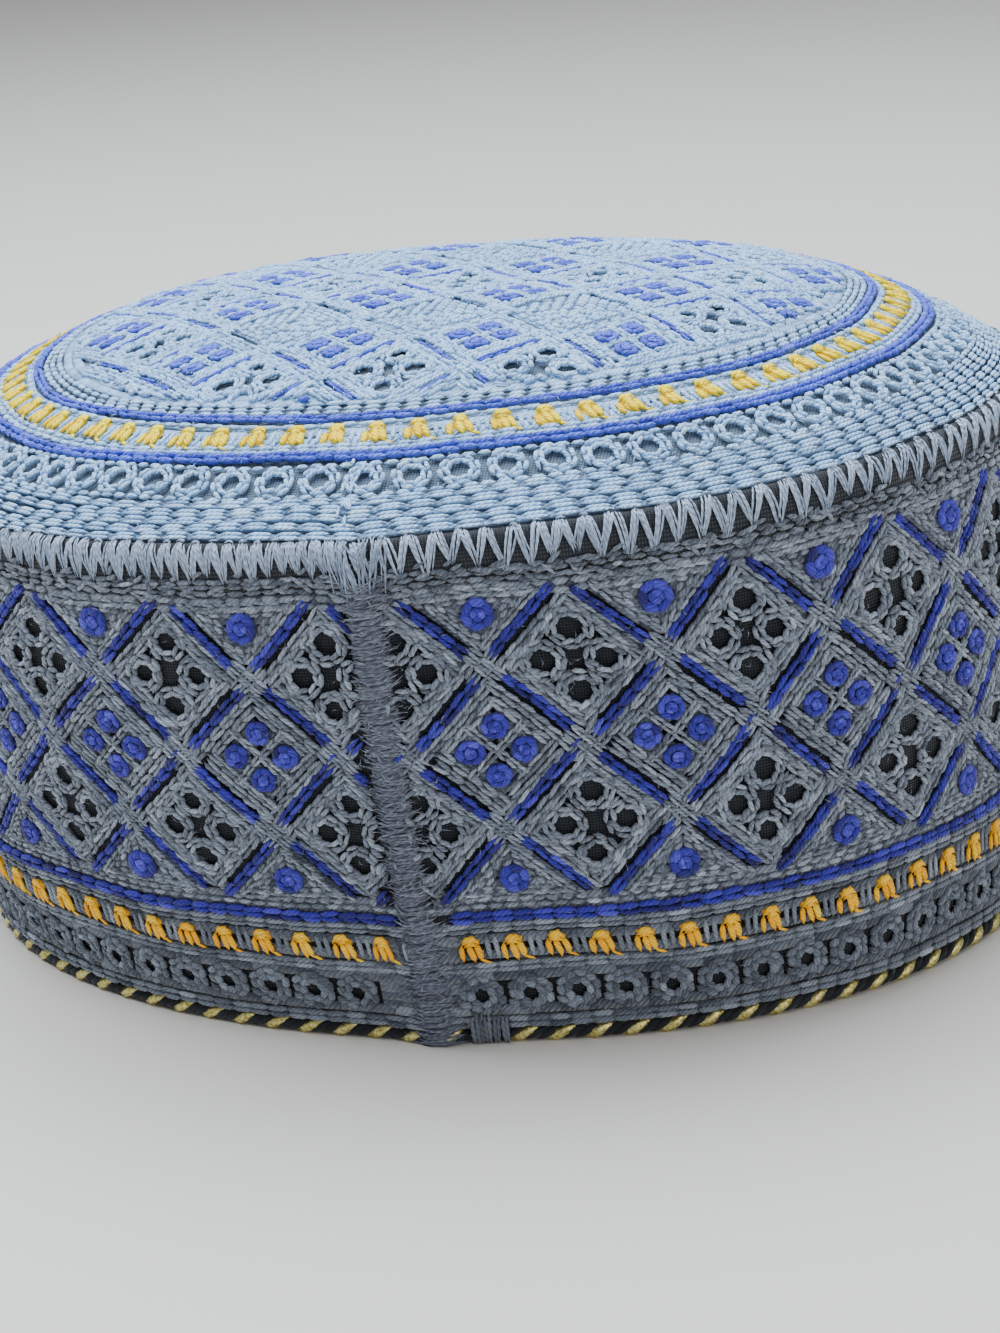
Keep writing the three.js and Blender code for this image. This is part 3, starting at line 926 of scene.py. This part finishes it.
# Zigzag whip stitches over the crown's join, wide to the right of the seam and close to its left
whips = {
    "places": (0, 170, 300, 430, 586), "pitches": (4.1, 4.1, 3.3, 2.7, 2.6), "filaments": 6,
    "width": 0.34, "spread": 0.25, "low": 1.1, "high": 9.0, "lean": 0.84, "tops": (0.4, 0.8),
    "strays": 34,
}


def sewWhips():
    w = whips
    width = w["width"]
    rows = []
    place = 0.0
    while place < hemLength - 1.2:
        pitch = float(np.interp(place, w["places"], w["pitches"])) * rng.uniform(0.85, 1.15)
        at = place + pitch / 2
        foot, head = w["low"] + rng.uniform(-0.7, 0.6), w["high"] + rng.uniform(-1.0, 0.5)
        for side in (-1, 1):
            bow = -side * 0.12 * pitch / 2
            for strand in range(w["filaments"]):
                spread = (strand - (w["filaments"] - 1) / 2) * w["spread"]
                start = (at + spread * 0.7 + side * 0.15, foot + abs(spread) * 1.5)
                end = (at + side * pitch * w["lean"] * 0.5 + spread, head - abs(spread) * 1.4)
                rows.append(stitches(start, end, width, width, 0.12, 0.3, bow + rng.normal(0, 0.14), 0.6, 1.8))
        for strand, reach in enumerate(w["tops"]):
            start, end = (at + pitch / 2 - reach, head - 0.8), (at + pitch / 2 + reach, head - 0.8)
            rows.append(stitches(start, end, width, width, 0.4, 0.1, 0.5 + strand * 0.3, 0.65, 1.5))
        place += pitch
    for index in range(w["strays"]):
        at = rng.normal(0.2, 2.2)
        start = (at, rng.uniform(-2.5, 3))
        end = (at * rng.uniform(0.7, 1.5) + rng.normal(0, 0.9), rng.uniform(6, 9.6))
        rows.append(stitches(start, end, 0.32, 0.3, 0.3, 0.4, rng.normal(0, 0.4), 0.25, 1.8))
    sew("join_whips", rollSheet, np.vstack(rows), strandShape)


sewWhips()

# Thread wound across the band's seam, with a wider foot over the hem
seam = {
    "middle": 0.4, "half": 3.3, "step": 0.27, "proud": 1.1, "width": 0.46, "top": 84.5, "padHalf": 3.1,
    "padStep": 0.95, "padTop": 84, "footHalf": 4.8, "footHeight": 10.0, "hairs": 460, "tieStart": 6.6,
    "tieStep": 0.72, "ties": 9,
}


def sewSeam():
    g = seam
    rows, fuzz = [], []
    height = -0.6
    while height < g["top"]:
        foot = max(0, 1 - height / g["footHeight"])
        half = g["half"] + (g["footHalf"] - g["half"]) * foot + rng.normal(0, 0.5)
        middle = rng.normal(0, 0.35) + g["middle"]
        slope = rng.normal(0.2, 0.5)
        proud = g["proud"] * rng.uniform(0.75, 1.15)
        start, end = (middle - half, height - slope), (middle + half, height + slope)
        rows.append(stitches(start, end, g["width"], g["width"], -0.15, proud, rng.normal(0, 0.5), 0.5))
        height += g["step"] * rng.uniform(0.8, 1.2)
    height = -0.4
    while height < g["padTop"]:
        half = g["padHalf"] + max(0, 1.4 - height * 0.14)
        start, end = (g["middle"] - half, height), (g["middle"] + half, height + 0.2)
        rows.append(stitches(start, end, 1.5, 0.9, -0.3, 0.85, 0, 0.15))
        height += g["padStep"]
    for index in range(g["hairs"]):
        at, up = rng.normal(0.3, 2.8), rng.uniform(0, 88)
        length = rng.uniform(1.2, 3.6)
        turn = rng.normal(0, 0.6)
        end = (at + length * math.cos(turn), up + length * math.sin(turn))
        lift = max(0.5, 1.1 - abs(at) * 0.2)
        fuzz.append(stitches((at, up), end, 0.15, 0.15, lift, 0.4, rng.normal(0, 0.4), 0.85))
    for index in range(g["ties"]):
        at = g["tieStart"] + index * g["tieStep"]
        start, end = (at, 6.0 + rng.normal(0, 0.3)), (at + rng.normal(0, 0.15), -0.4)
        rows.append(stitches(start, end, 0.75, 0.7, 0.5, 0.7, 0, 0.45))
    sew("seam_strands", bandSheet, np.vstack(rows), strandShape)
    sew("seam_strands", bandSheet, np.vstack(fuzz), hairShape)


sewSeam()


# Stray fibres: how many are tried, and how far each reaches in millimetres
strayFibres = {"band": 3200, "crown": 2100, "reach": 1.7, "width": 0.12}


def sewFuzz(piece, sheet, places, tone):
    count, width = len(places), strayFibres["width"]
    turn = rng.uniform(0, 2 * math.pi, count)
    length = rng.uniform(0.5, 1.3, count) * strayFibres["reach"]
    ends = places + np.stack([np.cos(turn), np.sin(turn)], 1) * length[:, None]
    bow = rng.normal(0, 0.5, count)
    sew(piece, sheet, stitches(places, ends, width, width, 0.6, 0.3, bow, tone), hairShape)


sewFuzz("band_fuzz", bandSheet, rng.uniform((4, 3), (hemLength - 4, 83), (strayFibres["band"], 2)), 0.5)
loose = rng.uniform((-100, -92), (100, 92), (strayFibres["crown"], 2))
sewFuzz("crown_fuzz", fieldSheet, loose[fieldDistance(loose[:, 0], loose[:, 1]) > 3], 0.6)
print("whips, seam and stray fibres charted")


def threadPiece(name, finish, replaced=()):
    pointParts, cornerParts, uvParts, toneParts = [], [], [], []
    used = 0
    for sheet, rows, (shape, corners) in work[name]:
        x, y, z = (shape[None, :, axis] for axis in range(3))
        share = x + 0.5
        delta = rows[:, 2:4] - rows[:, 0:2]
        length = np.maximum(np.hypot(delta[:, 0], delta[:, 1]), 1e-6)[:, None]
        rise = 4 * share * (1 - share)
        side = y * rows[:, 4:5] + rows[:, 8:9] * rise
        a = rows[:, 0:1] + delta[:, 0:1] * share - delta[:, 1:2] / length * side
        b = rows[:, 1:2] + delta[:, 1:2] * share + delta[:, 0:1] / length * side
        out = rows[:, 6:7] + z * rows[:, 5:6] + rows[:, 7:8] * rise
        places = toScene(sheet(a.ravel(), b.ravel(), out.ravel()))
        places[:, 2] = np.maximum(places[:, 2], floorGap * mm)
        pointParts.append(places)
        count = len(rows)
        first = used + np.arange(count) * len(shape)
        cornerParts.append((corners[None] + first[:, None, None]).reshape(-1, 3))
        around = np.arctan2(z, y) * rows[:, 4:5] / 2
        run = np.stack([x * length + rng.uniform(0, 40, (count, 1)), around], -1)
        uvParts.append(run.reshape(-1, 2))
        toneParts.append(np.repeat(rows[:, 9], len(shape)))
        used += count * len(shape)
    points, corners = np.vstack(pointParts), np.vstack(cornerParts)
    uv, tone = np.vstack(uvParts), np.concatenate(toneParts)
    mesh = bpy.data.meshes.new(name)
    mesh.vertices.add(len(points))
    mesh.vertices.foreach_set("co", points.ravel().astype(np.float32))
    mesh.loops.add(len(corners) * 3)
    mesh.loops.foreach_set("vertex_index", corners.ravel().astype(np.int32))
    mesh.polygons.add(len(corners))
    mesh.polygons.foreach_set("loop_start", (np.arange(len(corners)) * 3).astype(np.int32))
    mesh.update(calc_edges=True)
    mesh.polygons.foreach_set("use_smooth", np.ones(len(corners), bool))
    layer = mesh.uv_layers.new(name="threadRun")
    layer.data.foreach_set("uv", uv[corners.ravel()].ravel().astype(np.float32))
    attribute = mesh.attributes.new("threadTone", "FLOAT", "POINT")
    attribute.data.foreach_set("value", tone.astype(np.float32))
    mesh.validate()
    dressed(name, mesh, [finishes[finish]], replaced)


def dressed(name, mesh, materials, replaced=()):
    piece = addObject(name, mesh)
    for material in materials:
        mesh.materials.append(material)
    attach(piece, "root")
    if replaced:
        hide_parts(*replaced)
    print(name, len(mesh.polygons), "faces")


# The dark woven ground under the stitches, with a plain lining face, in millimetres
ground = {
    "steps": 220, "bandLow": 1.0, "bandRows": 18, "crownRows": 30, "sunk": 0.55, "wall": 1.3,
    "rollRows": 8, "rollSunk": 0.25, "rollWall": 0.6, "middle": 40, "probe": 0.2, "turnProbe": 0.01,
}


def groundPiece(name, sheet, lengthA, lengthB, rows, sunk, wall, finish, slotName, replaced=(), planUv=False):
    bm = bmesh.new()
    bmesh.ops.create_grid(bm, x_segments=ground["steps"], y_segments=rows, size=1)
    layer = bm.loops.layers.uv.new("threadRun")
    flat = np.array([v.co[:2] for v in bm.verts])
    a, b = (flat[:, 0] + 1) / 2 * lengthA, lengthB[0] + (flat[:, 1] + 1) / 2 * (lengthB[1] - lengthB[0])
    places = sheet(a, b, np.full(len(a), -sunk))
    for vert, place in zip(bm.verts, toScene(places)):
        vert.co = place
    for face in bm.faces:
        face.smooth = True
        for loop in face.loops:
            at = loop.vert.index
            loop[layer].uv = places[at, :2] if planUv else (a[at], b[at])
    bmesh.ops.remove_doubles(bm, verts=bm.verts[:], dist=1e-5)
    bm.normal_update()
    bmesh.ops.solidify(bm, geom=bm.faces[:], thickness=wall * mm)
    bm.normal_update()
    for face in bm.faces:
        middle = face.calc_center_median()
        away = Vector((middle.x, middle.y, middle.z - ground["middle"] * mm))
        face.material_index = 1 if face.normal.dot(away) < 0 else 0
    mesh = bpy.data.meshes.new(name)
    bm.to_mesh(mesh)
    bm.free()
    dressed(name, mesh, [finishes[finish], finishes["lining_cloth"]], replaced)


def crownGround(turn, distance, out):
    inner = np.minimum(distance, distanceTable[-1] - ground["probe"])
    places = lifted(crownSurface, turn, inner, out, ground["turnProbe"], ground["probe"])
    centre = distance > distanceTable[-1] - 0.01
    places[centre] = places[centre].mean(0)
    return places


def addGround():
    g = ground
    band, crown, roll = (g["bandLow"], capForm["bandHeight"]), (0.0, distanceTable[-1]), (0.0, joinRoll["width"])
    cloth = (g["sunk"], g["wall"])
    looks = ("dark_ground_cloth", "band_cloth", ("side_band",))
    groundPiece("band_ground", bandSheet, hemLength, band, g["bandRows"], *cloth, *looks)
    # The crown's ground takes the lit copy of the black cloth: painted light
    looks = ("crown_ground_cloth", "crown_cloth", ("crown_panel",), True)
    groundPiece("crown_ground", crownGround, 2 * math.pi, crown, g["crownRows"], *cloth, *looks)
    looks = (g["rollSunk"], g["rollWall"], "roll_ground_cloth", "overcast_thread")
    groundPiece("join_roll", rollSheet, hemLength, roll, g["rollRows"], *looks)


addGround()

for cloth, parts in (
    ("band", ("lattice", "eyelets", "fill", "rows", "blue", "orange", "fuzz")),
    ("crown", ("rows", "rings", "lattice", "eyelets", "blue", "yellow", "fuzz")),
):
    for part in parts:
        plain = cloth + ("_blue" if part == "blue" else "_grey")
        colour = part if part in ("orange", "yellow") else plain
        threadPiece(f"{cloth}_{part}", colour + "_thread")
threadPiece("join_whips", "whip_grey_thread", ("crown_join_ridge",))
threadPiece("seam_strands", "seam_grey_thread", ("band_seam_ridge",))

# The hem's cord: two black plies and a gold one, twisted. A ply is its finish, its phase
# in degrees, its reach from the cord's middle and its radius
hemCord = {
    "height": 1.4,
    "out": -0.3,
    "pitch": 6.35,
    "stepsPerTwist": 10,
    "blackTone": 0.4,
    "plies": (
        ("black_cord_thread", 0.0, 0.6, 0.74),
        ("black_cord_thread", 120.0, 0.6, 0.74),
        ("gold_lame_thread", 240.0, 0.62, 0.98),
    ),
}
goldLook = {
    "foilAndGlint": {"Scale": 1700.0, "Detail": 3.0},
    # The foil noise runs the gold's colour from dull dark to bright: the lamé's own flecks and painted glints
    "stops": ((0.3, (0.42, 0.33, 0.06)), (0.62, (1.0, 0.90, 0.36))),
    "glint": {"Strength": 0.8, "Distance": 0.00025},
    "surface": {"Metallic": 0.85, "Roughness": 0.34},
}


def goldFinish():
    g = goldLook
    material, shader = newMaterial("gold_lame_thread")
    place = addNode(material, "TexCoord", "Object")
    foilAndGlint = addNode(material, "TexNoise", "Fac", g["foilAndGlint"], {"Vector": place})
    glint = addNode(material, "Bump", "Normal", g["glint"], {"Height": foilAndGlint})
    # Bright and dark spots in the gold's colour are partly painted glints and painted shade on the metal
    colour = addRamp(material, foilAndGlint, g["stops"])
    feed(material, shader, g["surface"], {"Base Color": colour, "Normal": glint})
    return material


finishes["gold_lame_thread"] = goldFinish()


def plyMesh(phase, reach, radius):
    h = hemCord
    twists = round(hemLength / h["pitch"])
    count = twists * h["stepsPerTwist"]
    share = np.arange(count) / count
    angle = share * twists * 2 * math.pi + math.radians(phase)
    out = h["out"] + reach * np.cos(angle)
    height = h["height"] + reach * np.sin(angle)
    middle = bandSheet(share * hemLength, np.zeros(count), out)
    middle[:, 2] = height
    curve = bpy.data.curves.new("ply", "CURVE")
    curve.dimensions = "3D"
    curve.bevel_depth = radius * mm
    curve.bevel_resolution = 1
    spline = curve.splines.new("POLY")
    spline.points.add(count - 1)
    spline.points.foreach_set("co", np.hstack([toScene(middle), np.ones((count, 1))]).ravel())
    spline.use_cyclic_u = True
    spline.use_smooth = True
    holder = addObject("ply", curve)
    bpy.context.view_layer.update()
    mesh = bpy.data.meshes.new_from_object(holder.evaluated_get(bpy.context.evaluated_depsgraph_get()))
    bpy.data.objects.remove(holder)
    for vert in mesh.vertices:  # the cord is pressed flat where the cap stands on it
        vert.co.z = max(vert.co.z, floorGap * mm)
    return mesh


def addHemCord():
    for index, (finish, phase, reach, radius) in enumerate(hemCord["plies"]):
        mesh = plyMesh(phase, reach, radius)
        mesh.name = f"hem_ply_{index + 1}"
        if finish == "black_cord_thread":
            attribute = mesh.attributes.new("threadTone", "FLOAT", "POINT")
            tones = np.full(len(mesh.vertices), hemCord["blackTone"], np.float32)
            attribute.data.foreach_set("value", tones)
            if mesh.uv_layers:
                mesh.uv_layers[0].name = "threadRun"
        mesh.polygons.foreach_set("use_smooth", np.ones(len(mesh.polygons), bool))
        dressed(mesh.name, mesh, [finishes[finish]], ("hem_cord",))


addHemCord()

print("cap dressed")
